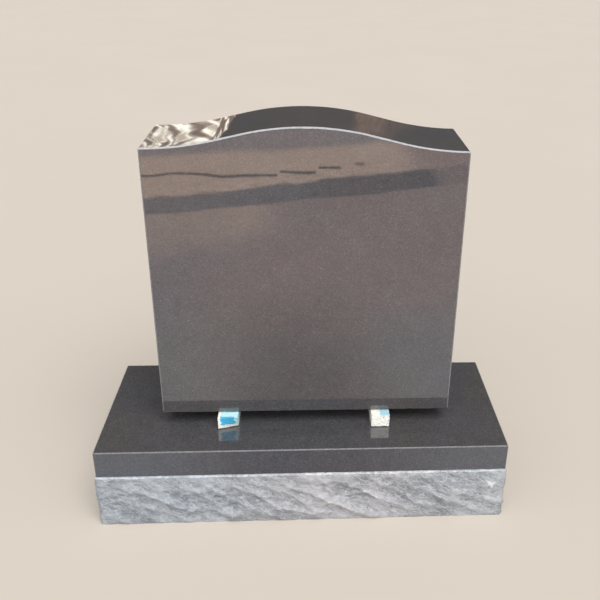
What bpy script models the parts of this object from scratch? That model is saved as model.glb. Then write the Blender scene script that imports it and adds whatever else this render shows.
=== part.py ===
"""A polished granite headstone: a tablet with a wave top on two foam spacers, on a rock-pitched base.

Metres, +Z up. The origin is the middle of the base's underside, X runs to the right as one faces
the inscription side, and Y runs to the back.
"""

import math

import bmesh
import bpy
import numpy as np

# Tablet
TABLET_WIDTH = 0.508
TABLET_THICKNESS = 0.152
SHOULDER_HEIGHT = 0.476  # from the tablet's underside to the two ends of the wave
CROWN_RISE = 0.035  # from the ends of the wave to its crown
WAVE_STRAIGHT = 0.046  # between the crown's arc and each shoulder's arc
CROWN_SHARE = 0.475  # the crown's part of its radius and a shoulder's together
WAVE_ARC_STEPS = 6  # straight edges in each arc
TABLET_ARRIS = 0.0022

# Base, sized by the ledges that it leaves round the tablet
FRONT_LEDGE = 0.078
BACK_LEDGE = 0.056
LEFT_LEDGE = 0.1065
RIGHT_LEDGE = 0.0965
BASE_HEIGHT = 0.152
MARGIN_HEIGHT = 0.050  # the polished band under the top
BASE_ARRIS = 0.0016

# Rock-pitched band, under the margin
PITCH_LIP = 0.003  # how far the band stands out of the margin at its edges and corners
LIP_DROP = 0.003  # height of the sloping lip under the margin
PITCH_BULGE = 0.008  # how much further its ridges stand out between the edges
SCALLOP_LENGTH = 0.062
SCALLOP_HEIGHT = 0.027
SCALLOP_SLANT = 0.50  # fall of a scallop for each metre that it runs to the right
SCALLOP_STRAY = 0.7  # the share of its cell in which a scallop's middle may lie
RIDGE_LEVEL = 0.6  # the squared distance from the middles, in cells, where a ridge is full
CORNER_FADE = 0.015  # the relief dies away over this distance from a corner
RELIEF_STEP = 0.010  # between the points that carry the relief
SLAB_SINK = 0.006  # how far the polished block reaches down into the pitched one
SLAB_LAP = 0.001  # how far the pitched block's top lies inside the polished one

# Foam spacers between the two stones
SPACER_HEIGHT = 0.025
SPACER_PROUD = 0.0165  # in front of the tablet's face
SPACER_BACK_INSET = 0.012  # behind them, to the tablet's back
SPACER_ROUNDING = 0.0012
LEFT_SPACER_WIDTH = 0.036
LEFT_SPACER_INSET = 0.096  # from the tablet's side
LEFT_SPACER_BREAK = 0.011  # how far its lower corner at the front is broken back
RIGHT_SPACER_WIDTH = 0.0335
RIGHT_SPACER_INSET = 0.107
RIGHT_SPACER_BREAK = 0.002

TOUCH_GAP = 0.0003  # left between pieces that rest on each other
WELD_DISTANCE = 0.00001
ARRIS_ANGLE = math.radians(30)  # edges sharper than this get an arris
SHARP_ANGLE = math.radians(20)  # and those that stay sharp in the shading

# What follows from them
BASE_WIDTH = LEFT_LEDGE + TABLET_WIDTH + RIGHT_LEDGE
BASE_DEPTH = FRONT_LEDGE + TABLET_THICKNESS + BACK_LEDGE
TABLET_LEFT = LEFT_LEDGE - BASE_WIDTH / 2
TABLET_RIGHT = TABLET_LEFT + TABLET_WIDTH
TABLET_FRONT = FRONT_LEDGE - BASE_DEPTH / 2
TABLET_BACK = TABLET_FRONT + TABLET_THICKNESS
BAND_HEIGHT = BASE_HEIGHT - MARGIN_HEIGHT
SPACER_FOOT = BASE_HEIGHT + TOUCH_GAP
TABLET_FOOT = SPACER_FOOT + SPACER_HEIGHT + TOUCH_GAP


def clear_scene():
    for obj in list(bpy.data.objects):
        bpy.data.objects.remove(obj, do_unlink=True)


def new_collection(name):
    collection = bpy.data.collections.new(name)
    bpy.context.scene.collection.children.link(collection)
    return collection


def new_material(name, color, roughness):
    material = bpy.data.materials.new(name)
    material.use_nodes = True
    shader = material.node_tree.nodes["Principled BSDF"]
    shader.inputs["Base Color"].default_value = (*color, 1.0)
    shader.inputs["Roughness"].default_value = roughness
    shader.inputs["Metallic"].default_value = 0.0
    return material


def object_from(bm, name, material, collection):
    mesh = bpy.data.meshes.new(name)
    bm.to_mesh(mesh)
    bm.free()
    mesh.materials.append(material)
    obj = bpy.data.objects.new(name, mesh)
    collection.objects.link(obj)
    return obj


def box(low, high):
    """A box between two corners, as a bmesh."""
    bm = bmesh.new()
    bmesh.ops.create_cube(bm, size=1.0)
    low, high = np.array(low), np.array(high)
    bmesh.ops.scale(bm, vec=high - low, verts=bm.verts)
    bmesh.ops.translate(bm, vec=(low + high) / 2, verts=bm.verts)
    return bm


def bevel(obj, width, segments):
    modifier = obj.modifiers.new("arris", "BEVEL")
    modifier.width = width
    modifier.segments = segments
    modifier.limit_method = "ANGLE"
    modifier.angle_limit = ARRIS_ANGLE


def arc(centre, radius, start, end, steps):
    """Points on an arc. The angles run from the upward direction towards +X."""
    return [
        (centre[0] + radius * math.sin(angle), centre[1] + radius * math.cos(angle))
        for angle in np.linspace(start, end, steps + 1)
    ]


def wave_half():
    """The wave from the crown to the right-hand end: an arc, a straight and the shoulder's arc.

    The two arcs turn through the same angle a, and the straight runs at a. Adding up the three
    runs gives tan(a / 2) = rise / (half width + straight), and the sum of the radii follows.
    """
    half = TABLET_WIDTH / 2
    turn = 2 * math.atan(CROWN_RISE / (half + WAVE_STRAIGHT))
    radii = (half - WAVE_STRAIGHT * math.cos(turn)) / math.sin(turn)
    crown_radius = CROWN_SHARE * radii
    shoulder_radius = radii - crown_radius
    crown_centre = (0, SHOULDER_HEIGHT + CROWN_RISE - crown_radius)
    shoulder_centre = (half, SHOULDER_HEIGHT + shoulder_radius)
    crown = arc(crown_centre, crown_radius, 0, turn, WAVE_ARC_STEPS)
    shoulder = arc(shoulder_centre, shoulder_radius, math.pi + turn, math.pi, WAVE_ARC_STEPS)
    return crown + shoulder


def make_tablet(material, collection):
    """The wave-topped outline, drawn flat, given its thickness and stood up on its foot."""
    right = wave_half()
    left = [(-x, z) for x, z in reversed(right[1:])]
    half = TABLET_WIDTH / 2
    outline = [(-half, 0), (half, 0)] + right[::-1] + left[::-1]
    curve = bpy.data.curves.new("tablet outline", "CURVE")
    curve.dimensions = "2D"
    curve.fill_mode = "BOTH"
    curve.extrude = TABLET_THICKNESS / 2
    spline = curve.splines.new("POLY")
    spline.points.add(len(outline) - 1)
    for point, (x, z) in zip(spline.points, outline):
        point.co = (x, z, 0, 1)
    spline.use_cyclic_u = True
    drawn = bpy.data.objects.new("tablet outline", curve)
    collection.objects.link(drawn)
    drawn.location = ((TABLET_LEFT + TABLET_RIGHT) / 2, (TABLET_FRONT + TABLET_BACK) / 2, TABLET_FOOT)
    drawn.rotation_euler.x = math.pi / 2
    bpy.context.view_layer.update()
    graph = bpy.context.evaluated_depsgraph_get()
    mesh = bpy.data.meshes.new_from_object(drawn.evaluated_get(graph))
    mesh.name = "tablet"
    bm = bmesh.new()
    bm.from_mesh(mesh)
    bmesh.ops.remove_doubles(bm, verts=bm.verts, dist=WELD_DISTANCE)
    bmesh.ops.recalc_face_normals(bm, faces=bm.faces)
    bm.to_mesh(mesh)
    bm.free()
    mesh.materials.clear()
    mesh.materials.append(material)
    tablet = bpy.data.objects.new("tablet", mesh)
    tablet.matrix_world = drawn.matrix_world
    collection.objects.link(tablet)
    bpy.data.objects.remove(drawn, do_unlink=True)
    mesh.shade_smooth()
    mesh.set_sharp_from_angle(angle=SHARP_ANGLE)
    bevel(tablet, TABLET_ARRIS, 1)
    return tablet


def chance(column, row, salt):
    """A fixed number from 0 to 1 for each cell: the fraction of a large multiple of a sine."""
    wave = np.sin(column * 12.9898 + row * 78.233 + salt * 37.719)
    return np.modf(np.abs(wave) * 43758.5453)[0]


def scallops(along, height):
    """The broken face: 0 in the middle of a scallop, rising to about 1 on the ridges between them.

    A lattice of slanted cells holds one scallop each, its centre moved by chance. The height is the
    squared distance to the nearest centre, in cells.
    """
    across = along / SCALLOP_LENGTH
    down = (height + SCALLOP_SLANT * along) / SCALLOP_HEIGHT
    nearest = np.full(np.shape(across), np.inf)
    for step_across in (-1, 0, 1):
        for step_down in (-1, 0, 1):
            column = np.floor(across) + step_across
            row = np.floor(down) + step_down
            centre_across = column + 0.5 + SCALLOP_STRAY * (chance(column, row, 1) - 0.5)
            centre_down = row + 0.5 + SCALLOP_STRAY * (chance(column, row, 2) - 0.5)
            apart = (across - centre_across) ** 2 + (down - centre_down) ** 2
            nearest = np.minimum(nearest, apart)
    return np.minimum(nearest / RIDGE_LEVEL, 1.0)


def base_plan():
    """Points round the base's plan with blunted corners, anticlockwise from the front's left end.

    Returns the points, each one's outward direction, its distance along the outline and its
    distance from the nearest corner.
    """
    half = np.array((BASE_WIDTH / 2, BASE_DEPTH / 2))
    sides = (
        ((-1, -1), (1, -1), (0, -1)),
        ((1, -1), (1, 1), (1, 0)),
        ((1, 1), (-1, 1), (0, 1)),
        ((-1, 1), (-1, -1), (-1, 0)),
    )
    points, outward, along, to_corner = [], [], [], []
    walked = 0.0
    for start, end, normal in sides:
        start, end = np.array(start) * half, np.array(end) * half
        length = np.linalg.norm(end - start)
        cells = max(2, round(length / RELIEF_STEP))
        for distance in np.linspace(BASE_ARRIS, length - BASE_ARRIS, cells + 1):
            points.append(start + (end - start) * distance / length)
            outward.append(normal)
            along.append(walked + distance)
            to_corner.append(min(distance, length - distance) - BASE_ARRIS)
        walked += length
    return np.array(points), np.array(outward), np.array(along), np.array(to_corner)


def pitched_sections():
    """The outlines of the rock-pitched block, from its underside to its top inside the margin.

    At a share t of the band's height a point stands out by lip + bulge * sqrt(sin(pi t)) *
    scallops * fade, where fade falls to 0 at the corners.
    """
    points, outward, along, to_corner = base_plan()
    fade = 1 - np.exp(-to_corner / CORNER_FADE)
    lip_foot = BAND_HEIGHT - LIP_DROP
    rows = max(2, round(lip_foot / RELIEF_STEP))
    sections = []
    for row in range(rows + 1):
        share = row / rows
        height = lip_foot * share
        hump = math.sqrt(max(math.sin(math.pi * share), 0.0))
        out = PITCH_LIP + PITCH_BULGE * hump * fade * scallops(along, height)
        sections.append((points + outward * out[:, None], height))
    lap = -SLAB_LAP
    top = BAND_HEIGHT + LIP_DROP * SLAB_LAP / PITCH_LIP
    sections.append((points + outward * lap, top))
    return sections


def loft(sections):
    """A closed solid through level outlines that have as many points each, the lowest first."""
    bm = bmesh.new()
    rings = [[bm.verts.new((x, y, z)) for x, y in plan] for plan, z in sections]
    for lower, upper in zip(rings, rings[1:]):
        for k, _ in enumerate(lower):
            bm.faces.new((lower[k - 1], lower[k], upper[k], upper[k - 1]))
    caps = [bm.faces.new(rings[0][::-1]), bm.faces.new(rings[-1])]
    bmesh.ops.poke(bm, faces=caps)
    return bm


def make_base(polished, pitched, collection, helpers):
    """One block: the polished slab with its margin and arris, joined to the rock-pitched band."""
    half_width, half_depth = BASE_WIDTH / 2, BASE_DEPTH / 2
    slab_foot = BAND_HEIGHT - LIP_DROP - SLAB_SINK
    slab_box = box((-half_width, -half_depth, slab_foot), (half_width, half_depth, BASE_HEIGHT))
    slab = object_from(slab_box, "polished block", polished, helpers)
    bevel(slab, BASE_ARRIS, 1)
    slab.hide_render = True
    slab.display_type = "WIRE"
    base = object_from(loft(pitched_sections()), "base", pitched, collection)
    join = base.modifiers.new("polished block", "BOOLEAN")
    join.operation = "UNION"
    join.object = slab
    join.material_mode = "TRANSFER"
    return base


def make_spacer(name, left, width, corner_break, material, collection):
    """A foam offcut under the tablet, with its lower right corner at the front broken back."""
    front = TABLET_FRONT - SPACER_PROUD
    bm = box(
        (left, front, SPACER_FOOT),
        (left + width, TABLET_BACK - SPACER_BACK_INSET, SPACER_FOOT + SPACER_HEIGHT),
    )
    for vert in bm.verts:
        middle = left + width / 2
        if vert.co.x > middle and vert.co.y < TABLET_FRONT and vert.co.z < SPACER_FOOT + SPACER_HEIGHT / 2:
            vert.co.y += corner_break
    spacer = object_from(bm, name, material, collection)
    bevel(spacer, SPACER_ROUNDING, 2)
    return spacer


def main():
    clear_scene()
    headstone = new_collection("headstone")
    helpers = new_collection("helpers")
    polished = new_material("polished granite", (0.085, 0.080, 0.080), 0.12)
    pitched = new_material("rock-pitched granite", (0.42, 0.43, 0.45), 0.85)
    blue_foam = new_material("blue foam", (0.10, 0.46, 0.76), 0.8)
    white_foam = new_material("white foam", (0.85, 0.84, 0.80), 0.9)
    make_tablet(polished, headstone)
    make_base(polished, pitched, headstone, helpers)
    make_spacer(
        "spacer_left",
        TABLET_LEFT + LEFT_SPACER_INSET,
        LEFT_SPACER_WIDTH,
        LEFT_SPACER_BREAK,
        blue_foam,
        headstone,
    )
    make_spacer(
        "spacer_right",
        TABLET_RIGHT - RIGHT_SPACER_INSET - RIGHT_SPACER_WIDTH,
        RIGHT_SPACER_WIDTH,
        RIGHT_SPACER_BREAK,
        white_foam,
        headstone,
    )


main()
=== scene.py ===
import math

import bpy
import numpy as np
from mathutils import Matrix, Vector


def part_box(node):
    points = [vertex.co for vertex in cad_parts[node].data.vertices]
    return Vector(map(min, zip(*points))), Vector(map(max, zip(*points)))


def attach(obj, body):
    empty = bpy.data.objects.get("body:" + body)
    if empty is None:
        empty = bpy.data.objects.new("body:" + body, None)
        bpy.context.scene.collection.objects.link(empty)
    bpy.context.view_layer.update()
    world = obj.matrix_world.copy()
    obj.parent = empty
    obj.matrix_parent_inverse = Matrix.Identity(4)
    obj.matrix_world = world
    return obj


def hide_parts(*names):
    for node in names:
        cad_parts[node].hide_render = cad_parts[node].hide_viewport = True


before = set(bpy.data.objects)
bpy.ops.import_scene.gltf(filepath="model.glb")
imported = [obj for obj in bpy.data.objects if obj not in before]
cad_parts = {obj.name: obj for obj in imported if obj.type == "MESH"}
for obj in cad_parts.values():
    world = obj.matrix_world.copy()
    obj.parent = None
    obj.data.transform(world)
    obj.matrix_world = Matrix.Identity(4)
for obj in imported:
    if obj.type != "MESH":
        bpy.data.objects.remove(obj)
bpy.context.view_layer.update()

tabletLow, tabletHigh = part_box("tablet")
baseLow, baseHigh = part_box("base")
print("frame loaded, nodes:", ", ".join(sorted(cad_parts)))


# Shared helpers: fixed chance, soft noise, broken-stone bowls

def chance(column, row, salt):
    # a fixed number from 0 to 1 for each cell: the fraction of a large multiple of a sine
    wave = np.sin(column * 12.9898 + row * 78.233 + salt * 37.719)
    return np.modf(np.abs(wave) * 43758.5453)[0]


def softNoise(across, up, salt):
    # chance at a cell's four corners, blended by 3t^2 - 2t^3, so it runs smoothly from 0 to 1
    column, row = np.floor(across), np.floor(up)
    a, b = across - column, up - row
    a, b = a * a * (3 - 2 * a), b * b * (3 - 2 * b)
    lower = chance(column, row, salt) * (1 - a) + chance(column + 1, row, salt) * a
    upper = chance(column, row + 1, salt) * (1 - a) + chance(column + 1, row + 1, salt) * a
    return lower * (1 - b) + upper * b


def scallops(along, height, length, tall, slant, salt=0):
    # squared distance to the nearest cell centre of a slanted lattice: bowls with ridges between
    across = along / length
    down = (height + slant * along) / tall
    nearest = np.full(np.shape(across), 9.0)
    for stepAcross in (-1, 0, 1):
        for stepDown in (-1, 0, 1):
            column = np.floor(across) + stepAcross
            row = np.floor(down) + stepDown
            centreAcross = column + 0.15 + 0.7 * chance(column, row, salt + 1)
            centreDown = row + 0.15 + 0.7 * chance(column, row, salt + 2)
            apart = (across - centreAcross) ** 2 + (down - centreDown) ** 2
            nearest = np.minimum(nearest, apart)
    return np.minimum(nearest / 0.6, 1.0)


def chips(along, height, length, tall, slant, salt=0):
    # flat chips on the same lattice, each at a level and with a tilt of its own, so ledges part them
    across = along / length
    down = (height + slant * along) / tall
    nearest, level = np.full(np.shape(across), 9.0), np.zeros(np.shape(across))
    for stepAcross in (-1, 0, 1):
        for stepDown in (-1, 0, 1):
            column = np.floor(across) + stepAcross
            row = np.floor(down) + stepDown
            offAcross = across - column - 0.1 - 0.8 * chance(column, row, salt + 1)
            offDown = down - row - 0.1 - 0.8 * chance(column, row, salt + 2)
            tiltAcross, tiltDown = chance(column, row, salt + 3) - 0.5, chance(column, row, salt + 4) - 0.5
            plane = chance(column, row, salt + 5) + tiltAcross * offAcross + tiltDown * offDown
            apart = offAcross ** 2 + offDown ** 2
            level = np.where(apart < nearest, plane, level)
            nearest = np.minimum(nearest, apart)
    return level


def evened(field, times):
    # each value averaged with its four neighbours; the columns close on themselves
    for _ in range(times):
        padded = np.pad(field, ((1, 1), (0, 0)), mode="edge")
        field = (2 * field + np.roll(field, 1, 1) + np.roll(field, -1, 1) + padded[:-2] + padded[2:]) / 6
    return field


def tubeFaces(rings, columns, inward=False):
    # quads between neighbouring rings of a closed tube; inward turns each one round
    ring, column = np.meshgrid(np.arange(rings - 1), np.arange(columns), indexing="ij")
    here = ring * columns + column
    beside = ring * columns + (column + 1) % columns
    quads = np.stack([here, beside, beside + columns, here + columns], axis=-1).reshape(-1, 4)
    return quads[:, ::-1] if inward else quads


def makePiece(name, points, quads, caps, materials, quadMaterial, capMaterial, sharpAngle, sharpRings=()):
    # arrays to a smooth-shaded mesh; edges past sharpAngle and round the named rings stay sharp
    mesh = bpy.data.meshes.new(name)
    mesh.from_pydata(points.reshape(-1, 3).tolist(), [], quads.tolist() + [list(cap) for cap in caps])
    for material in materials:
        mesh.materials.append(material)
    slots = np.concatenate([quadMaterial, capMaterial]).astype(np.int32)
    mesh.polygons.foreach_set("material_index", slots)
    mesh.update()
    mesh.shade_smooth()
    mesh.set_sharp_from_angle(angle=math.radians(sharpAngle))
    ends = np.empty(2 * len(mesh.edges), np.int32)
    mesh.edges.foreach_get("vertices", ends)
    ringOfEnds = ends.reshape(-1, 2) // points.shape[1]
    alongRing = (ringOfEnds[:, 0] == ringOfEnds[:, 1]) & np.isin(ringOfEnds[:, 0], sharpRings)
    sharp = np.empty(len(mesh.edges), bool)
    mesh.attributes["sharp_edge"].data.foreach_get("value", sharp)
    mesh.attributes["sharp_edge"].data.foreach_set("value", sharp | alongRing)
    piece = bpy.data.objects.new(name, mesh)
    bpy.context.scene.collection.objects.link(piece)
    return piece


# Shader maths: a Field wraps one socket, and arithmetic on it adds Math nodes

class Field:
    def __init__(self, tree, socket=None):
        self.tree, self.socket = tree, socket

    def node(self, kind, inputs=(), output=0, **settings):
        # any node: its settings first, then the values or links of its sockets
        made = self.tree.nodes.new(kind)
        stops = settings.pop("stops", None)
        for key, value in settings.items():
            setattr(made, key, value)
        if stops:
            ramp = made.color_ramp.elements
            while len(ramp) < len(stops):
                ramp.new(1.0)
            for element, (place, color) in zip(ramp, stops):
                element.position, element.color = place, (*color, 1.0)
        for key, value in dict(inputs).items():
            if isinstance(value, Field):
                self.tree.links.new(value.socket, made.inputs[key])
            else:
                made.inputs[key].default_value = value
        return Field(self.tree, made.outputs[output])

    def math(self, operation, *values):
        return self.node("ShaderNodeMath", enumerate(values), operation=operation)

    def __add__(self, other): return self.math("ADD", self, other)
    def __radd__(self, other): return self.math("ADD", other, self)
    def __sub__(self, other): return self.math("SUBTRACT", self, other)
    def __rsub__(self, other): return self.math("SUBTRACT", other, self)
    def __mul__(self, other): return self.math("MULTIPLY", self, other)
    def __rmul__(self, other): return self.math("MULTIPLY", other, self)
    def __truediv__(self, other): return self.math("DIVIDE", self, other)
    def __rtruediv__(self, other): return self.math("DIVIDE", other, self)
    def __neg__(self): return self.math("MULTIPLY", self, -1.0)

    def ramp(self, low, high):
        # 0 below low, 1 above high, smooth between
        ends = {"Value": self, "From Min": low, "From Max": high}
        return self.node("ShaderNodeMapRange", ends, interpolation_type="SMOOTHSTEP")

    def blend(self, low, high):
        # a colour that goes from low to high as this goes from 0 to 1
        low, high = (c if isinstance(c, Field) else (*c, 1.0) for c in (low, high))
        ends = {0: self, 6: low, 7: high}
        return self.node("ShaderNodeMix", ends, output=2, data_type="RGBA")

    def tinted(self, other):
        # a colour times another colour, or times a plain value
        both = {0: 1.0, 6: self, 7: other}
        return self.node("ShaderNodeMix", both, output=2, data_type="RGBA", blend_type="MULTIPLY")

    def noise(self, scale, detail=3.0, roughness=0.5):
        # cloudy values round 0.5, with this many clouds a metre
        values = {"Vector": self, "Scale": scale, "Detail": detail, "Roughness": roughness}
        return self.node("ShaderNodeTexNoise", values)

    def cells(self, scale):
        # a colour of its own for each crystal, with this many crystals a metre
        return self.node("ShaderNodeTexVoronoi", {"Vector": self, "Scale": scale}, output="Color")

    def axis(self, name):
        # one coordinate of a place
        return self.node("ShaderNodeSeparateXYZ", {0: self}, output=name)


def newMaterial(name, build, **constants):
    # a Principled material: constants on its own sockets, and build(position) gives the rest
    material = bpy.data.materials.new(name)
    material.use_nodes = True
    tree = material.node_tree
    shader = tree.nodes["Principled BSDF"]
    for key, value in constants.items():
        shader.inputs[key.replace("_", " ")].default_value = value
    position = Field(tree).node("ShaderNodeTexCoord", output="Object")
    for key, value in build(position).items():
        tree.links.new(value.socket, shader.inputs[key])
    return material


# Finishes

graniteLook = {
    "dark": (0.053, 0.051, 0.055),
    "mid": (0.077, 0.075, 0.079),
    "pale": (0.120, 0.117, 0.121),
    "cool": (0.95, 0.99, 1.04),
    "warm": (1.03, 0.99, 0.97),
    "dim": (0.93, 0.93, 0.93),
    "bright": (1.06, 1.06, 1.06),
    "grain": 620.0,  # crystals a metre
    "fleck": 1178.0,
    "mottle": 30.0,  # clouds a metre
    "drift": 5.0,
    "wiped": 9.0,
    "polish": 0.020,
    "smear": 0.015,  # how much rougher the polish is where it was wiped
    "waver": 11.0,  # waves a metre
    "waverDepth": 0.0015,
}


def polishedGranite(position):
    # crystals of three tones, a cloudy mottle, and a polish dulled a little where it was wiped
    look = graniteLook
    crystal = position.cells(look["grain"]).axis("X")
    fleck = position.cells(look["fleck"]).axis("Y")
    tone = crystal.node("ShaderNodeValToRGB", {0: crystal}, stops=[
        (0.0, look["dark"]), (0.35, look["mid"]), (0.86, look["mid"]), (1.0, look["pale"])])
    tone = fleck.ramp(0.93, 0.97).blend(tone, look["pale"])
    cloud = position.noise(look["mottle"], 5.0, 0.6)
    drift = position.noise(look["drift"], 2.0).ramp(0.35, 0.65).blend(look["cool"], look["warm"])
    tint = cloud.ramp(0.25, 0.75).blend(look["dim"], look["bright"])
    color = tone.tinted(tint).tinted(drift)
    wiped = position.noise(look["wiped"], 6.0, 0.65).ramp(0.45, 0.75)
    roughness = look["polish"] + look["smear"] * wiped
    wave = position.noise(look["waver"], 1.0)
    relief = {"Height": wave, "Strength": 0.15, "Distance": look["waverDepth"]}
    normal = position.node("ShaderNodeBump", relief, "Normal")
    return {"Base Color": color, "Roughness": roughness, "Normal": normal}


edgeLook = {
    # the paler copy of the honed arris, for the wave's top edge: painted highlight
    "wave arris highlight": ((0.31, 0.32, 0.34), (0.53, 0.54, 0.57)),  # dark and pale crystals
    # a darker copy of the same honed arris, for the upright and base edges: painted shade
    "fine arris": ((0.13, 0.13, 0.137), (0.28, 0.28, 0.294)),
    "sawn": ((0.24, 0.235, 0.235), (0.40, 0.395, 0.395)),
    "grain": 900.0,  # crystals a metre
    "clouds": 60.0,  # clouds a metre
    "honed": 0.38,
    "rougher": 0.2,
}


def honedEdge(dark, pale):
    # a ground or sawn face: the same stone, paler because it isn't polished, rougher in clouds; the wave's
    # arris tones also hold a painted highlight, the other arrises' tones a painted shade
    def build(position):
        crystal = position.cells(edgeLook["grain"]).axis("X")
        roughness = edgeLook["honed"] + edgeLook["rougher"] * position.noise(edgeLook["clouds"])
        return {"Base Color": crystal.blend(dark, pale), "Roughness": roughness}
    return build


pitchLook = {
    # the hollow tones are painted shade: darker where the relief sinks below its surroundings
    "hollow": ((0.165, 0.175, 0.195), (0.27, 0.275, 0.295)),  # darker and paler clouds
    "broken": ((0.275, 0.285, 0.305), (0.425, 0.43, 0.45)),
    "bruised": (0.70, 0.71, 0.73),
    "crease": (0.60, 0.61, 0.63),
    "tints": {"left": (0.88, 0.945, 1.0), "middle": (1.0, 1.0, 1.03), "right": (0.955, 0.995, 1.02)},
    "clouds": 17.0,  # clouds a metre
    "grit": 400.0,  # grains a metre
    "gritShare": 1.1,  # how far the grit breaks up a bruise
    "creases": 105.0,
    "creaseShare": 0.45,  # how much of its colour a crease takes on
    "slant": 20,  # degrees
    "stretch": 2.3,  # how much longer than high a crease is
    "pocks": 190.0,  # pocks a metre
    "depth": 0.0022,
}


def pitchedGranite(position):
    # broken stone: pale where its ridges are bruised, darker in the hollows as painted shade, bluish to
    # both ends;
    # creases run where slanted, stretched noise passes its middle value
    look = pitchLook
    bruiseAndShade = position.node("ShaderNodeAttribute", output="Fac", attribute_name="bruiseAndShade")
    cloud = position.noise(look["clouds"], 4.0, 0.55).ramp(0.33, 0.67)
    grit = position.noise(look["grit"], 4.0, 0.8)
    grained = bruiseAndShade + (grit - 0.5) * look["gritShare"]
    # low marks take the darker hollow tones, painted shade in the recesses; high marks turn bruised white
    color = grained.ramp(0.08, 0.50).blend(cloud.blend(*look["hollow"]), cloud.blend(*look["broken"]))
    color = grained.ramp(0.62, 1.04).blend(color, look["bruised"])
    tints = look["tints"]
    side = position.axis("X").ramp(0.02, -0.22).blend(tints["middle"], tints["left"])
    side = position.axis("X").ramp(0.12, 0.26).blend(side, tints["right"])
    turn = {"Rotation": (0, math.radians(look["slant"]), 0), "Scale": (look["stretch"], 1.0, 1.0)}
    stretched = position.node("ShaderNodeMapping", {"Vector": position, **turn}, vector_type="TEXTURE")
    crease = stretched.noise(look["creases"], 3.0, 0.6) - 0.5
    crease = crease.math("ABSOLUTE", crease).ramp(0.07, 0.0)
    color = (crease * look["creaseShare"]).blend(color, look["crease"])
    rough = position.noise(look["pocks"], 5.0, 0.66) + crease * 0.5
    relief = {"Height": rough, "Strength": 0.55, "Distance": look["depth"]}
    normal = position.node("ShaderNodeBump", relief, "Normal")
    return {"Base Color": color.tinted(side), "Roughness": 0.62 + 0.3 * grit, "Normal": normal}


glossGranite = newMaterial("polished granite", polishedGranite, IOR=1.95)
# the wave's arris has a painted highlight in its paler tones; the other arrises have painted shade in
# their darker tones
waveArrisHighlightGranite = newMaterial("honed wave arris highlight", honedEdge(*edgeLook["wave arris highlight"]), IOR=1.5)
fineArrisGranite = newMaterial("honed fine arris", honedEdge(*edgeLook["fine arris"]), IOR=1.5)
sawnGranite = newMaterial("sawn granite", honedEdge(*edgeLook["sawn"]), IOR=1.5)
brokenGranite = newMaterial("rock-pitched granite", pitchedGranite, IOR=1.5)
print("stone finishes made")


# Tablet: the wave outline, carried from the front to the back with a ground arris round each face

tabletSizes = {
    "crownRise": 0.035,
    "waveStraight": 0.046,
    "crownShare": 0.475,
    "arris": 0.0022,
    "arrisWaver": 0.16,  # share by which the hand-ground arris gains and loses width
    "waverTurns": (70, 260),  # times a metre at which it does
    "topColumns": 220,
    "sideColumns": 150,
    "footColumns": 120,
}


def waveHeight(across, half, sizes):
    # crown arc, straight and shoulder arc: tan(turn / 2) = rise / (half + straight)
    rise, straight = sizes["crownRise"], sizes["waveStraight"]
    turn = 2 * math.atan(rise / (half + straight))
    radii = (half - straight * math.cos(turn)) / math.sin(turn)
    crown = sizes["crownShare"] * radii
    shoulder = radii - crown
    away = np.abs(across)
    crownEnd = crown * math.sin(turn)
    shoulderStart = half - shoulder * math.sin(turn)
    onCrown = rise - crown + np.sqrt(np.maximum(crown ** 2 - away ** 2, 0))
    onStraight = rise - crown * (1 - math.cos(turn)) - (away - crownEnd) * math.tan(turn)
    onShoulder = shoulder - np.sqrt(np.maximum(shoulder ** 2 - (half - away) ** 2, 0))
    return np.select([away < crownEnd, away < shoulderStart], [onCrown, onStraight], onShoulder)


def tabletOutline(half, tall, sizes):
    # anticlockwise from the front: foot, right side, wave, left side, with each point's way inward
    arris = sizes["arris"]
    corner = math.sqrt(2) - 1  # how far a blunted corner's points slide along for each inset
    foot = np.linspace(-half + arris, half - arris, sizes["footColumns"])
    side = np.linspace(arris, tall - arris, sizes["sideColumns"])
    top = np.linspace(half - arris, -half + arris, sizes["topColumns"])
    wave = tall + waveHeight(top, half, sizes)
    steep = np.sqrt(1 + np.gradient(wave, top) ** 2)
    zero, one = np.zeros(side.size), np.ones(side.size)
    across = np.concatenate([foot, half * one, top, -half * one])
    up = np.concatenate([np.zeros(foot.size), side, wave, side[::-1]])
    inAcross = np.concatenate([np.zeros(foot.size), -one, np.zeros(top.size), one])
    inUp = np.concatenate([np.ones(foot.size), zero, -steep, zero])
    start = 0
    for run, slideAcross, slideUp in (
        (foot.size, (1, -1), (0, 0)),
        (side.size, (0, 0), (1, -1)),
        (top.size, (-1, 1), (0, 0)),
        (side.size, (0, 0), (-1, 1)),
    ):
        for place, turnAcross, turnUp in zip((start, start + run - 1), slideAcross, slideUp):
            inAcross[place] += corner * turnAcross
            inUp[place] += corner * turnUp
        start += run
    cornerColumns = np.cumsum([foot.size, side.size, top.size, side.size]) - 1
    return across, up, inAcross, inUp, cornerColumns


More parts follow.
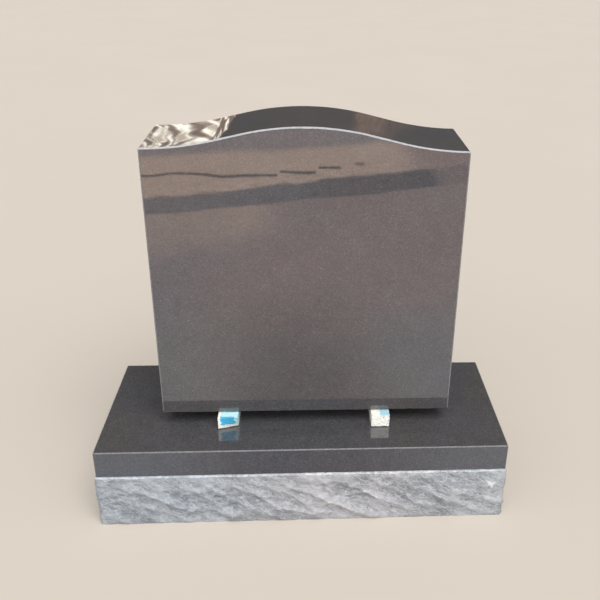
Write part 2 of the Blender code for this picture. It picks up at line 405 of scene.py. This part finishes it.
def makeTablet():
    # four rings, two round each face: the outline moved inward by the arris, then the outline itself
    sizes = tabletSizes
    half = (tabletHigh.x - tabletLow.x) / 2
    middle = (tabletHigh.x + tabletLow.x) / 2
    tall = tabletHigh.z - tabletLow.z - sizes["crownRise"]
    across, up, inAcross, inUp, cornerColumns = tabletOutline(half, tall, sizes)
    columns = across.size
    rings = []
    for place, inward, face, salt in (  # face is 1 at the front and -1 at the back
        (0.0, 1.0, 1, 1), (1.0, 0.0, 1, 2), (1.0, 0.0, -1, 3), (0.0, 1.0, -1, 4),
    ):
        waver = sum(softNoise(across * turns, up * turns, salt) for turns in sizes["waverTurns"]) - 1
        width = sizes["arris"] * (1 + sizes["arrisWaver"] * waver)
        plane = tabletLow.y if face > 0 else tabletHigh.y
        x = middle + across + inAcross * inward * width
        z = tabletLow.z + up + inUp * inward * width
        rings.append(np.stack([x, plane + face * place * width, z], axis=-1))
    points = np.stack(rings)
    quads = tubeFaces(len(rings), columns, inward=True)
    finishes = [glossGranite, waveArrisHighlightGranite, fineArrisGranite, sawnGranite]
    polished, waveArrisHighlight, fineArris, sawn = range(4)
    slot = np.full((len(rings) - 1, columns), polished)
    for arris in (0, 2):
        slot[arris, sizes["footColumns"]:] = fineArris
        slot[arris, cornerColumns[1]:cornerColumns[2] + 1] = waveArrisHighlight
    slot[1, cornerColumns] = fineArris
    slot[1, :sizes["footColumns"] - 1] = sawn
    caps = [range(columns), range(4 * columns - 1, 3 * columns - 1, -1)]
    piece = makePiece("tablet_stone", points, quads, caps, finishes, slot.ravel(), [polished, polished],
                      sharpAngle=20)
    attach(piece, "root")
    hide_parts("tablet")
    print("tablet:", len(piece.data.polygons), "faces")


makeTablet()


# Base: level outlines from the underside up over the pitched band, the margin and the arris

baseSizes = {
    "width": 0.711,
    "depth": 0.286,
    "margin": 0.050,
    "arris": 0.0016,
    "lip": 0.0025,
    "lipDrop": 0.0018,
    "least": 0.0004,  # how far the band stands out where it is deepest
    "bulge": 0.008,
    "cornerFade": 0.015,
    "scallop": (0.062, 0.027, 0.50),  # length, height, slant
    "chip": (0.024, 0.0140, 0.38),
    "chipDepth": 0.0026,
    "splinter": (0.0105, 0.0068, 0.35),
    "splinterDepth": 0.0016,
    "bowl": (0.026, 0.015, 0.20),
    "bowlDepth": 0.0012,
    "middle": 0.4,  # level of chips and bowls that neither adds nor takes stone
    "leftTurn": 0.35,  # the marks lie flatter by this slope over the left third of the front
    "leftThird": 0.24,
    "strayAlong": ((0.020, 22, 11), (0.004, 120, 14)),  # reach, turns a metre and salt of each stray
    "strayUp": ((0.018, 30, 12), (0.004, 130, 13)),
    "grains": ((1.0, 420, 50), (0.5, 900, 51)),
    "grit": 0.0005,
    "proud": (0.0013, 0.0030),  # heights above the near and the wide surroundings that count as one
    "bruiseAndShade": (0.42, 0.23),  # what a level point has, and what each such height adds
    "evenings": (8, 60),  # rounds of evening that give the near and the wide surroundings
    "spall": (0.688, 0.075),  # where it lies along the front and up
    "spallReach": (0.012, 0.004),  # down and up from there
    "spallSlopes": (0.4, 0.6),  # of its upper edge and of its sides
    "spallRagged": 0.006,
    "spallTurns": 260,
    "spallBruise": 0.95,
    "nick": 0.0010,  # how far the pitch line strays upwards
    "nickTurns": (75, 330),
    "lipBruise": (0.70, 0.40),  # the least, and what chance adds at most
    "lipTurns": 150,
    "step": 0.00165,
}


def basePlan(halfWidth, halfDepth, sizes):
    # points round the plan, anticlockwise, with outward ways, distance walked and corner distance
    corners = [(-1, -1), (1, -1), (1, 1), (-1, 1)]
    half, arris = np.array((halfWidth, halfDepth)), sizes["arris"]
    points, outward, slide, along, toCorner = [], [], [], [], []
    walked = 0.0
    for number, first in enumerate(corners):
        start, end = np.array(first) * half, np.array(corners[(number + 1) % 4]) * half
        length = np.linalg.norm(end - start)
        way = (end - start) / length
        distance = np.linspace(arris, length - arris, round(length / sizes["step"]) + 1)
        points.append(start + way * distance[:, None])
        outward.append(np.tile((way[1], -way[0]), (distance.size, 1)))
        ends = np.zeros((distance.size, 2))
        ends[0], ends[-1] = way, -way
        slide.append(ends * (math.sqrt(2) - 1))
        along.append(walked + distance)
        toCorner.append(np.minimum(distance, length - distance) - arris)
        walked += length
    return [np.concatenate(parts) for parts in (points, outward, slide, along, toCorner)]


def pitchedFace(along, height, toCorner, share, sizes):
    # lip + bulge * sqrt(sin(pi share)) * broad bowls * fade, broken up by chips, bowls and grit
    def stray(parts):
        # soft noises added up, each with a reach, turns a metre and a salt
        return sum(reach * softNoise(along * turns, height * turns, salt) for reach, turns, salt in parts)

    strayAlong = along + stray(sizes["strayAlong"])
    strayUp = height - sizes["leftTurn"] * np.minimum(along, sizes["leftThird"]) + stray(sizes["strayUp"])
    hump = np.sqrt(np.clip(np.sin(np.pi * share), 0, 1))
    fade = 1 - np.exp(-toCorner / sizes["cornerFade"])
    broad = scallops(along, height, *sizes["scallop"])
    chip = chips(strayAlong, strayUp, *sizes["chip"], salt=20) - sizes["middle"]
    splinter = chips(strayAlong, strayUp, *sizes["splinter"], salt=30) - sizes["middle"]
    bowl = scallops(strayAlong, strayUp, *sizes["bowl"], salt=40) - sizes["middle"]
    grit = stray(sizes["grains"]) - 0.75  # less half of the grains' reach
    fine = sizes["chipDepth"] * chip + sizes["splinterDepth"] * splinter + sizes["bowlDepth"] * bowl
    edge = 0.25 + 0.75 * hump
    return sizes["lip"] + sizes["bulge"] * hump * fade * broad + fine * edge + sizes["grit"] * grit


def bruisesAndShade(out, along, height, sizes):
    # from 0 in a hollow to 1 on a ridge, by how far a point stands above those near it and round it; low
    # values give the hollows painted shade; a fresh spall near the front's right-hand corner is a ragged
    # patch that narrows downwards
    near, wide = (evened(out, times) for times in sizes["evenings"])
    proud = (out - near) / sizes["proud"][0] + (near - wide) / sizes["proud"][1]
    bruiseAndShade = np.clip(sizes["bruiseAndShade"][0] + sizes["bruiseAndShade"][1] * proud, 0, 1)
    turns = sizes["spallTurns"]
    ragged = sizes["spallRagged"] * (softNoise(along * turns, height * turns, 55) - 0.5)
    beside, above = along - sizes["spall"][0] + ragged, height - sizes["spall"][1] - ragged
    (down, up), (slope, narrowing) = sizes["spallReach"], sizes["spallSlopes"]
    fresh = (above < up - slope * beside) & (np.abs(beside) < narrowing * (above + down))
    bruiseAndShade[fresh] = sizes["spallBruise"]
    return bruiseAndShade


def makeBase():
    # level rings up the pitched band, each moved outward by the relief, then three for the margin
    sizes = baseSizes
    halfWidth, halfDepth = sizes["width"] / 2, sizes["depth"] / 2
    top = baseHigh.z
    bandTop = top - sizes["margin"]
    lipFoot = bandTop - sizes["lipDrop"]
    plan, outward, slide, along, toCorner = basePlan(halfWidth, halfDepth, sizes)
    columns, rows = along.size, round(lipFoot / sizes["step"]) + 1
    reach = np.select(
        [outward[:, 0] > 0.5, outward[:, 0] < -0.5, outward[:, 1] > 0.5],
        [baseHigh.x - halfWidth, -baseLow.x - halfWidth, baseHigh.y - halfDepth],
        -baseLow.y - halfDepth,
    )
    share = np.linspace(0, 1, rows)[:, None] + 0 * along
    height = lipFoot * share
    out = evened(pitchedFace(along + 0 * share, height, toCorner, share, sizes), 1)
    bruiseAndShade = bruisesAndShade(out, along, height, sizes)
    out = np.clip(out, sizes["least"], reach)
    relief = np.concatenate([plan + outward * out[..., None], height[..., None]], axis=-1)
    broad, narrow = sizes["nickTurns"]
    nick = softNoise(along * broad, along * 0, 60) * softNoise(along * narrow, along * 0, 61)
    finish = []
    for inset, level in (
        (0.0, bandTop + sizes["nick"] * nick), (0.0, top - sizes["arris"]), (sizes["arris"], top),
    ):
        ring = plan + (slide - outward) * inset
        finish.append(np.column_stack([ring, level + 0 * along]))
    points = np.concatenate([relief, np.stack(finish)])
    rings = len(points)
    quads = tubeFaces(rings, columns)
    finishes = [glossGranite, fineArrisGranite, brokenGranite, sawnGranite]
    polished, fineArris, broken, sawn = range(4)
    slot = np.full((rings - 1, columns), broken)
    slot[-2], slot[-1] = polished, fineArris
    caps = [range(columns - 1, -1, -1), range((rings - 1) * columns, rings * columns)]
    piece = makePiece("base_stone", points, quads, caps, finishes, slot.ravel(), [sawn, polished],
                      sharpAngle=40, sharpRings=(rings - 3, rings - 2, rings - 1))
    least, spread = sizes["lipBruise"]
    lipBruise = least + spread * softNoise(along * sizes["lipTurns"], along * 0, 62)
    marks = np.concatenate([bruiseAndShade, np.stack([0.6 * lipBruise] * 3)])
    marks[rows - 1] = lipBruise
    # the stored mark holds the bruised ridges together with the painted shade of the hollows
    stored = piece.data.attributes.new("bruiseAndShade", "FLOAT", "POINT")
    stored.data.foreach_set("value", marks.ravel().astype(np.float32))
    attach(piece, "root")
    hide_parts("base")
    print("base:", len(piece.data.polygons), "faces")


makeBase()


# Foam spacers: broken blocks of foam beads

foamSizes = {
    "round": 0.0015,
    "bead": 0.0034,
    "dent": 0.0009,
    "breakReach": 0.045,  # how far back the front's break fades out
    "around": 132,
    "capRings": 14,
    "bodyRings": 90,
}

foamTones = {
    "bead": (0.97, 0.96, 0.90),
    "pit": (0.36, 0.40, 0.47),
    "pits": 330.0,  # pits a metre
    "ragged": 0.22,  # share of the width and height by which the coat's edges stray
    "raggedTurns": (200.0, 260.0),  # times a metre at which they do, across and up
}

foamLooks = {
    "spacer_left": {
        "slot": "blue_foam",
        "break": 0.011,
        "pitFrom": 0.62,  # noise value from which a pit opens, so a higher one makes fewer
        "coat": (0.078, 0.52, 0.84),
        # pale cyan for the right-hand rim and, as painted light, for the lit top face
        "rimAndLitTop": (0.58, 0.90, 0.97),
        "coatLeft": 0.12,  # shares of the front's width and height between which the coat is left
        "coatRight": 0.80,
        "coatFoot": 0.27,
        # share of the height above which the coat's top face turns pale: painted light on the lit top
        "litTopFrom": 0.945,
    },
    "spacer_right": {
        "slot": "white_foam",
        "break": 0.0005,
        "pitFrom": 0.56,
        "coat": (0.44, 0.68, 0.80),
        "rimAndLitTop": (0.93, 0.92, 0.87),
        "coatLeft": 0.46,
        "coatRight": 1.20,
        "coatFoot": 0.90,
        "litTopFrom": 1.40,
    },
}


def beadDents(points, size):
    # squared distance to the nearest of the chance points of a cubic lattice: 0 on a bead, 1 between
    cell = points / size
    nearest = np.full(len(points), 9.0)
    for number in range(27):
        step = np.array((number % 3, number // 3 % 3, number // 9)) - 1
        corner = np.floor(cell) + step
        column, row = corner[:, 0] + 57 * corner[:, 2], corner[:, 1]
        off = np.stack([chance(column, row, salt) for salt in (71, 72, 73)], -1) - 0.5
        nearest = np.minimum(nearest, ((cell - corner - 0.5 - 0.6 * off) ** 2).sum(-1))
    return np.minimum(nearest / 0.55, 1.0)


def foamMaterial(name, low, high, look):
    def build(position):
        # white broken beads with grey pits; a coloured coat is left on part of it, with a pale rim to the
        # right and a pale top face whose paleness is painted light
        across = (position.axis("X") - low.x) / (high.x - low.x)
        up = (position.axis("Z") - low.z) / (high.z - low.z)
        ragged, (turnsAcross, turnsUp) = foamTones["ragged"], foamTones["raggedTurns"]
        stray = position.noise(turnsAcross, 2.0)
        across = across + (stray - 0.5) * ragged
        raggedUp = up + (position.noise(turnsUp, 2.0) - 0.5) * ragged
        pits = position.noise(foamTones["pits"], 2.0, 0.6).ramp(look["pitFrom"], look["pitFrom"] + 0.1)
        pits = pits * (0.3 + 0.7 * across.ramp(0.35, 0.60))
        white = pits.blend(foamTones["bead"], foamTones["pit"])
        inside = across.ramp(look["coatLeft"], look["coatLeft"] + 0.05)
        inside = inside * raggedUp.ramp(look["coatFoot"], look["coatFoot"] + 0.06)
        rimAndLitTop = across.ramp(look["coatRight"], look["coatRight"] + 0.05)
        behind = (position.axis("Y") - low.y).ramp(0.003, 0.005)
        # the top face behind the front takes the pale colour too: painted light
        rimAndLitTop = rimAndLitTop.math("MAXIMUM", rimAndLitTop, up.ramp(look["litTopFrom"], look["litTopFrom"] + 0.01) * behind)
        coat = rimAndLitTop.blend(look["coat"], look["rimAndLitTop"])
        return {"Base Color": inside.blend(white, coat), "Roughness": 0.7 + 0.25 * stray}
    return newMaterial(name + " foam", build, IOR=1.45)


def makeFoam(node):
    # every point of a plain box is moved to the rounding's radius from the nearest point of a smaller
    # box inside it, less the dents between the beads; the front is broken back towards its right foot
    sizes, look = foamSizes, foamLooks[node]
    low, high = (np.array(corner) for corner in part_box(node))
    middle, half = (low + high) / 2, (high - low) / 2
    lap = np.arange(sizes["around"]) / sizes["around"] * 4
    side, share = np.floor(lap).astype(int), (lap % 1) * 2 - 1
    aroundX = np.choose(side, [share, 1, -share, -1])
    aroundZ = np.choose(side, [-1, share, 1, -share])
    capShare = np.linspace(0.04, 1, sizes["capRings"])
    spread = np.concatenate([capShare, np.ones(sizes["bodyRings"]), capShare[::-1]])
    depth = np.concatenate([np.full(capShare.size, -1.0), np.linspace(-1, 1, sizes["bodyRings"]),
                            np.full(capShare.size, 1.0)])
    spread = spread[:, None]
    unit = np.broadcast_arrays(aroundX * spread, depth[:, None], aroundZ * spread)
    unit = np.stack(unit, axis=-1).reshape(-1, 3)
    plain = unit * half
    core = np.clip(plain, -(half - sizes["round"]), half - sizes["round"])
    outward = plain - core
    outward /= np.linalg.norm(outward, axis=1)[:, None]
    dents = sizes["dent"] * beadDents(plain + middle, sizes["bead"])
    points = middle + core + outward * (sizes["round"] - dents[:, None])
    toRight, toFoot = unit[:, 0] * 0.5 + 0.5, 0.5 - unit[:, 2] * 0.5
    nearFront = np.clip(1 - (plain[:, 1] + half[1]) / sizes["breakReach"], 0, 1)
    points[:, 1] += look["break"] * toRight * toFoot * nearFront
    columns, rings = sizes["around"], depth.size
    quads = tubeFaces(rings, columns, inward=True)
    caps = [range(columns), range(rings * columns - 1, (rings - 1) * columns - 1, -1)]
    foam = foamMaterial(node, *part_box(node), look)
    slot = np.zeros(len(quads))
    piece = makePiece(node + "_foam", points, quads, caps, [foam], slot, [0, 0], sharpAngle=60)
    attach(piece, "root")
    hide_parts(node)
    print(node + ":", len(piece.data.polygons), "faces")


for node in foamLooks:
    makeFoam(node)


# Studio: pale floor, soft light and cards that only the polish shows

studio = {
    "floor": (0.625, 0.567, 0.503),
    "floorCloud": 0.985,
    "floorHalf": 14.0,
    "backdrop": (0.716, 0.645, 0.565),
    "fillFront": (1.36, 1.34, 1.33),
    "fillBack": (0.26, 0.257, 0.254),
    "polishSees": (0.085, 0.076, 0.068),
    "key": 1.75,
    "keyColor": (1.0, 0.985, 0.96),
    "keyFrom": (0.08, -0.22, 0.42),
    "keySize": 40.0,  # degrees across
    "cardBehind": 2.0,  # where the two upright cards stand, and from what height to what height
    "cardHeights": (0.90, 1.235),
}


def plainMesh(name, corners, material, place=(0, 0, 0)):
    # one four-cornered sheet that belongs to the studio
    mesh = bpy.data.meshes.new(name)
    mesh.from_pydata(corners, [], [(0, 1, 2, 3)])
    mesh.materials.append(material)
    made = bpy.data.objects.new(name, mesh)
    made.location = place
    bpy.context.scene.collection.objects.link(made)
    return made


def floorPaint(position):
    # the floor's colour, darker by a hair in broad clouds
    tone = position.noise(1.5, 2.0).ramp(0.3, 0.7)
    color = tone.blend(studio["floor"], tuple(c * studio["floorCloud"] for c in studio["floor"]))
    return {"Base Color": color}


def makeFloor():
    # a square round the origin
    half = studio["floorHalf"]
    paint = newMaterial("floor paint", floorPaint, Roughness=0.9, Specular_IOR_Level=0.0)
    plainMesh("floor", [(-half, -half, 0), (half, -half, 0), (half, half, 0), (-half, half, 0)], paint)


def glowCard(name, corners, build, strength, place=(0, 0, 0)):
    # a card that lights nothing and that only reflections show
    material = bpy.data.materials.new(name)
    material.use_nodes = True
    tree = material.node_tree
    tree.nodes.remove(tree.nodes["Principled BSDF"])
    position = Field(tree).node("ShaderNodeTexCoord", output="Object")
    glow = position.node("ShaderNodeEmission", {"Color": build(position), "Strength": strength})
    tree.links.new(glow.socket, tree.nodes["Material Output"].inputs["Surface"])
    card = plainMesh(name, corners, material, place)
    card.visible_camera = card.visible_diffuse = card.visible_shadow = False
    card.visible_transmission = card.visible_volume_scatter = False


groundLook = {
    "strength": 1.8,
    "farLeft": (-2.6, -4.5),  # two of the card's corners
    "nearRight": (2.6, -0.17),
    "level": 0.002,
    "slant": 0.45,  # how much nearer the patch lies for each metre to the left
    "bandTurn": 0.13,  # by how much less the band and the far part do
    "farTurn": 0.06,
    "margin": ((0.07, 0.07, 0.10), (0.25, 0.28, 0.33)),  # nearest the stone, in its middle and at its ends
    "marginTo": (0.36, 0.34),
    "near": ((0.20, 0.145, 0.12), (0.36, 0.345, 0.34)),
    "middle": (0.465, 0.345, 0.325),
    "middleFrom": (0.45, 1.06),
    "patch": (0.80, 0.56, 0.45),
    "patchFrom": (1.26, 1.62),
    "patchRight": (-0.02, -0.22),
    "leftTint": (0.86, 0.92, 0.96),
    "leftTintFrom": (-0.20, -0.38),
    "band": ((0.26, 0.235, 0.25), (0.09, 0.085, 0.105)),  # from left to right
    "bandEnd": (0.38, 0.28, 0.26),
    "bandEndFrom": (0.52, 0.60),
    "far": ((1.0, 0.72, 0.56), (0.58, 0.40, 0.35)),
    "farthest": (0.49, 0.41, 0.41),
    "bandFrom": (1.735, 1.775),  # metres ahead of the stone, over which one tone gives way to the next
    "farFrom": (1.975, 2.02),
    "farthestFrom": (2.48, 2.62),
    "lineAhead": 2.072,  # a thin dark line that goes on to the right as a stair of dashes
    "lineHalf": (0.026, 0.014),  # from its middle to its outer edge and to its full dark
    "dashStart": -0.115,
    "dashLength": 0.165,
    "dashStep": 0.065,
    "dashShrink": 0.32,
}


def groundGlow(position):
    # a warm far part beyond a darker band that runs across at a slant, a warm patch to the left in
    # front of the band, a cooler left edge, and a reddish middle that turns dimmer towards the stone
    look = groundLook
    across, ahead = position.axis("X"), -position.axis("Y")
    cloud = position.noise(3.0, 5.0, 0.6) - 0.5
    speckle = position.noise(26.0, 4.0, 0.7) - 0.5
    away = ahead - across * look["slant"] + cloud * 0.06
    side = across.math("ABSOLUTE", across)
    color = side.ramp(0.02, 0.28).blend(*look["near"])
    color = (ahead + cloud * 0.3).ramp(*look["middleFrom"]).blend(color, look["middle"])
    strayAcross = across + cloud * 0.2
    patch = away.ramp(*look["patchFrom"]) * strayAcross.ramp(*look["patchRight"])
    color = patch.blend(color, look["patch"])
    color = color.tinted(across.ramp(*look["leftTintFrom"]).blend((1.0, 1.0, 1.0), look["leftTint"]))
    shade = across.ramp(-0.6, 0.5).blend(*look["band"])
    shade = strayAcross.ramp(*look["bandEndFrom"]).blend(shade, look["bandEnd"])
    color = (away + across * look["bandTurn"]).ramp(*look["bandFrom"]).blend(color, shade)
    beyond = across.ramp(0.40, 0.58).blend(*look["far"])
    farthest = (ahead + cloud * 0.12 - across * 0.25).ramp(*look["farthestFrom"])
    beyond = farthest.blend(beyond, look["farthest"])
    farther = away + across * look["farTurn"] + speckle * 0.05
    color = farther.ramp(*look["farFrom"]).blend(color, beyond)
    margin = side.ramp(0.04, 0.36).blend(*look["margin"])
    color = ahead.ramp(*look["marginTo"]).blend(color, margin)
    rough = 0.4 + 0.9 * away.ramp(1.98, 2.03) * away.ramp(2.17, 2.12)
    return color.tinted((1 + cloud * 0.35 + speckle * rough) * (1 - dashedLine(across, ahead) * 0.95))


def dashedLine(across, ahead):
    # dash n lies n steps farther ahead, and each is shorter than the last; left of them runs one line
    look = groundLook
    cell = (across - look["dashStart"]) / look["dashLength"]
    number = cell.math("FLOOR", cell)
    share, steps = cell - number, number.math("MAXIMUM", number + 1, 0.0)
    line = ahead - look["lineAhead"] - steps * look["dashStep"]
    line = line.math("ABSOLUTE", line).ramp(*look["lineHalf"])
    dash = share.ramp(0.05, 0.09) * (share + steps * look["dashShrink"]).ramp(1.36, 1.32)
    return line * dash.math("MAXIMUM", dash, across.ramp(look["dashStart"], look["dashStart"] - 0.005))


windowLook = {
    "strength": 3.3,
    "span": (-0.74, -0.36),  # the card's left and right edges
    "place": (-0.006, 0.0, -0.015),
    "patches": 80.0,  # patches a metre
    "skew": ((0.68, 0.876), (0.707, 0.464)),  # shares of across and up in each of the skewed ways
    "slant": 1.7,  # how far left the ragged cut-off leans for each metre up
    "slantLevel": 0.992,  # height at which the next two places across hold
    "cutOff": (-0.462, -0.456),
    "ragged": 0.04,
    "fadeIn": (-0.60, -0.56),  # places across between which the patches begin
    "tones": [
        (0.38, (0.12, 0.08, 0.06)), (0.44, (0.20, 0.14, 0.11)), (0.48, (0.27, 0.21, 0.16)),
        (0.505, (0.38, 0.32, 0.24)), (0.53, (0.94, 0.91, 0.80)), (0.59, (0.94, 0.91, 0.80)),
        (0.615, (0.50, 0.44, 0.35)), (0.70, (0.36, 0.30, 0.225)),
    ],
}


def windowGlow(position):
    # flowing patches from dark brown through straw to white, cut off along a ragged slant; they are
    # drawn skewed, because the hollow of the wave shows the card skewed the other way
    look = windowLook
    across, up = position.axis("X"), position.axis("Z")
    skew = [across * shareAcross + up * shareUp for shareAcross, shareUp in look["skew"]]
    skewed = position.node("ShaderNodeCombineXYZ", enumerate(skew))
    flow = position.node("ShaderNodeTexNoise", {
        "Vector": skewed, "Scale": look["patches"], "Detail": 0.0, "Roughness": 0.4, "Distortion": 0.8})
    color = flow.node("ShaderNodeValToRGB", {0: flow}, stops=look["tones"])
    across = across + (flow - 0.5) * look["ragged"]
    slanted = across + (up - look["slantLevel"]) * look["slant"]
    edge = slanted.ramp(*look["cutOff"]) * across.ramp(*look["fadeIn"])
    return edge.blend(color, tuple(c / look["strength"] for c in studio["polishSees"]))


wallLook = {
    "strength": 1.0,
    "span": (0.22, 0.80),
    "place": (0.0, 0.0, 0.0),
    "warm": (0.33, 0.21, 0.15),
    "mottle": 38.0,
    "ragged": 0.10,
    "fadeIn": (0.32, 0.39),  # places across between which the patch begins, and then ends
    "fadeOut": (0.62, 0.46),
}


def wallGlow(position):
    # one warm mottled patch that fades out to both sides
    look = wallLook
    across = position.axis("X") + (position.noise(9.0) - 0.5) * look["ragged"]
    mottle = 0.45 + 0.9 * position.noise(look["mottle"], 4.0, 0.7).ramp(0.35, 0.65)
    patch = across.ramp(*look["fadeIn"]) * across.ramp(*look["fadeOut"])
    return (patch * mottle).blend(studio["polishSees"], look["warm"])


def makeCards():
    # the ground in front of the stone, a bright window behind it to the left, a dim wall to the right
    (left, far), (right, near), level = (groundLook[key] for key in ("farLeft", "nearRight", "level"))
    corners = [(left, far, level), (right, far, level), (right, near, level), (left, near, level)]
    glowCard("ground glow", corners, groundGlow, groundLook["strength"])
    behind, (foot, top) = studio["cardBehind"], studio["cardHeights"]
    for name, look, build in (("window glow", windowLook, windowGlow), ("wall glow", wallLook, wallGlow)):
        left, right = look["span"]
        corners = [(left, behind, foot), (right, behind, foot), (right, behind, top), (left, behind, top)]
        glowCard(name, corners, build, look["strength"], look["place"])


def makeWorld():
    # the backdrop for the camera, a dim room for the polish, and light that is stronger in front
    world = bpy.data.worlds.new("studio")
    world.use_nodes = True
    tree = world.node_tree
    back = tree.nodes["Background"]
    path = Field(tree)
    seen = path.node("ShaderNodeLightPath", output="Is Camera Ray")
    polished = path.node("ShaderNodeLightPath", output="Is Glossy Ray")
    front = (-path.node("ShaderNodeTexCoord", output="Generated").axis("Y")).ramp(-0.5, 0.8)
    around = polished.blend(front.blend(studio["fillBack"], studio["fillFront"]), studio["polishSees"])
    color = seen.blend(around, studio["backdrop"])
    tree.links.new(color.socket, back.inputs["Color"])
    bpy.context.scene.world = world


def makeKey():
    # one broad soft lamp above and a little in front, which the polish doesn't show
    light = bpy.data.lights.new("key", "SUN")
    light.energy = studio["key"]
    light.angle = math.radians(studio["keySize"])
    light.color = studio["keyColor"]
    key = bpy.data.objects.new("key", light)
    key.rotation_euler = Vector(studio["keyFrom"]).to_track_quat("Z", "Y").to_euler()
    key.visible_glossy = False
    bpy.context.scene.collection.objects.link(key)


makeFloor()
makeCards()
makeWorld()
makeKey()
print("studio made")


# Camera, placed from the tablet's width

view = {
    "place": (-0.0067, -2.2496, 1.5895),  # tablet widths from the face's middle at the base top's level
    "pitch": 25.31,
    "yaw": 4.81,
    "roll": -1.895,
    "focal": 762.0,  # pixels of a 600 pixel frame
    "centre": (363.1, 290.0),
    "frame": 600,
}


def makeCamera():
    # looks along the yaw and pitch, rolled about that line, its frame shifted to the lens's centre
    width = tabletHigh.x - tabletLow.x
    pitch, yaw, roll = (math.radians(view[key]) for key in ("pitch", "yaw", "roll"))
    ahead = np.array((math.sin(yaw) * math.cos(pitch), math.cos(yaw) * math.cos(pitch), -math.sin(pitch)))
    level = np.array((math.cos(yaw), -math.sin(yaw), 0.0))
    down = np.cross(ahead, level)
    right = math.cos(roll) * level + math.sin(roll) * down
    under = -math.sin(roll) * level + math.cos(roll) * down
    data = bpy.data.cameras.new("camera")
    data.sensor_width = 36.0
    data.lens = view["focal"] / view["frame"] * data.sensor_width
    data.shift_x = 0.5 - view["centre"][0] / view["frame"]
    data.shift_y = view["centre"][1] / view["frame"] - 0.5
    camera = bpy.data.objects.new("camera", data)
    middle = np.array(((tabletHigh.x + tabletLow.x) / 2, tabletLow.y, baseHigh.z))
    place = middle + np.array(view["place"]) * width
    axes = np.eye(4)
    axes[:3, 0], axes[:3, 1], axes[:3, 2], axes[:3, 3] = right, -under, -ahead, place
    camera.matrix_world = Matrix(axes.tolist())
    bpy.context.scene.collection.objects.link(camera)
    bpy.context.scene.camera = camera


makeCamera()
bpy.context.scene.view_settings.view_transform = "Standard"
print("camera made")
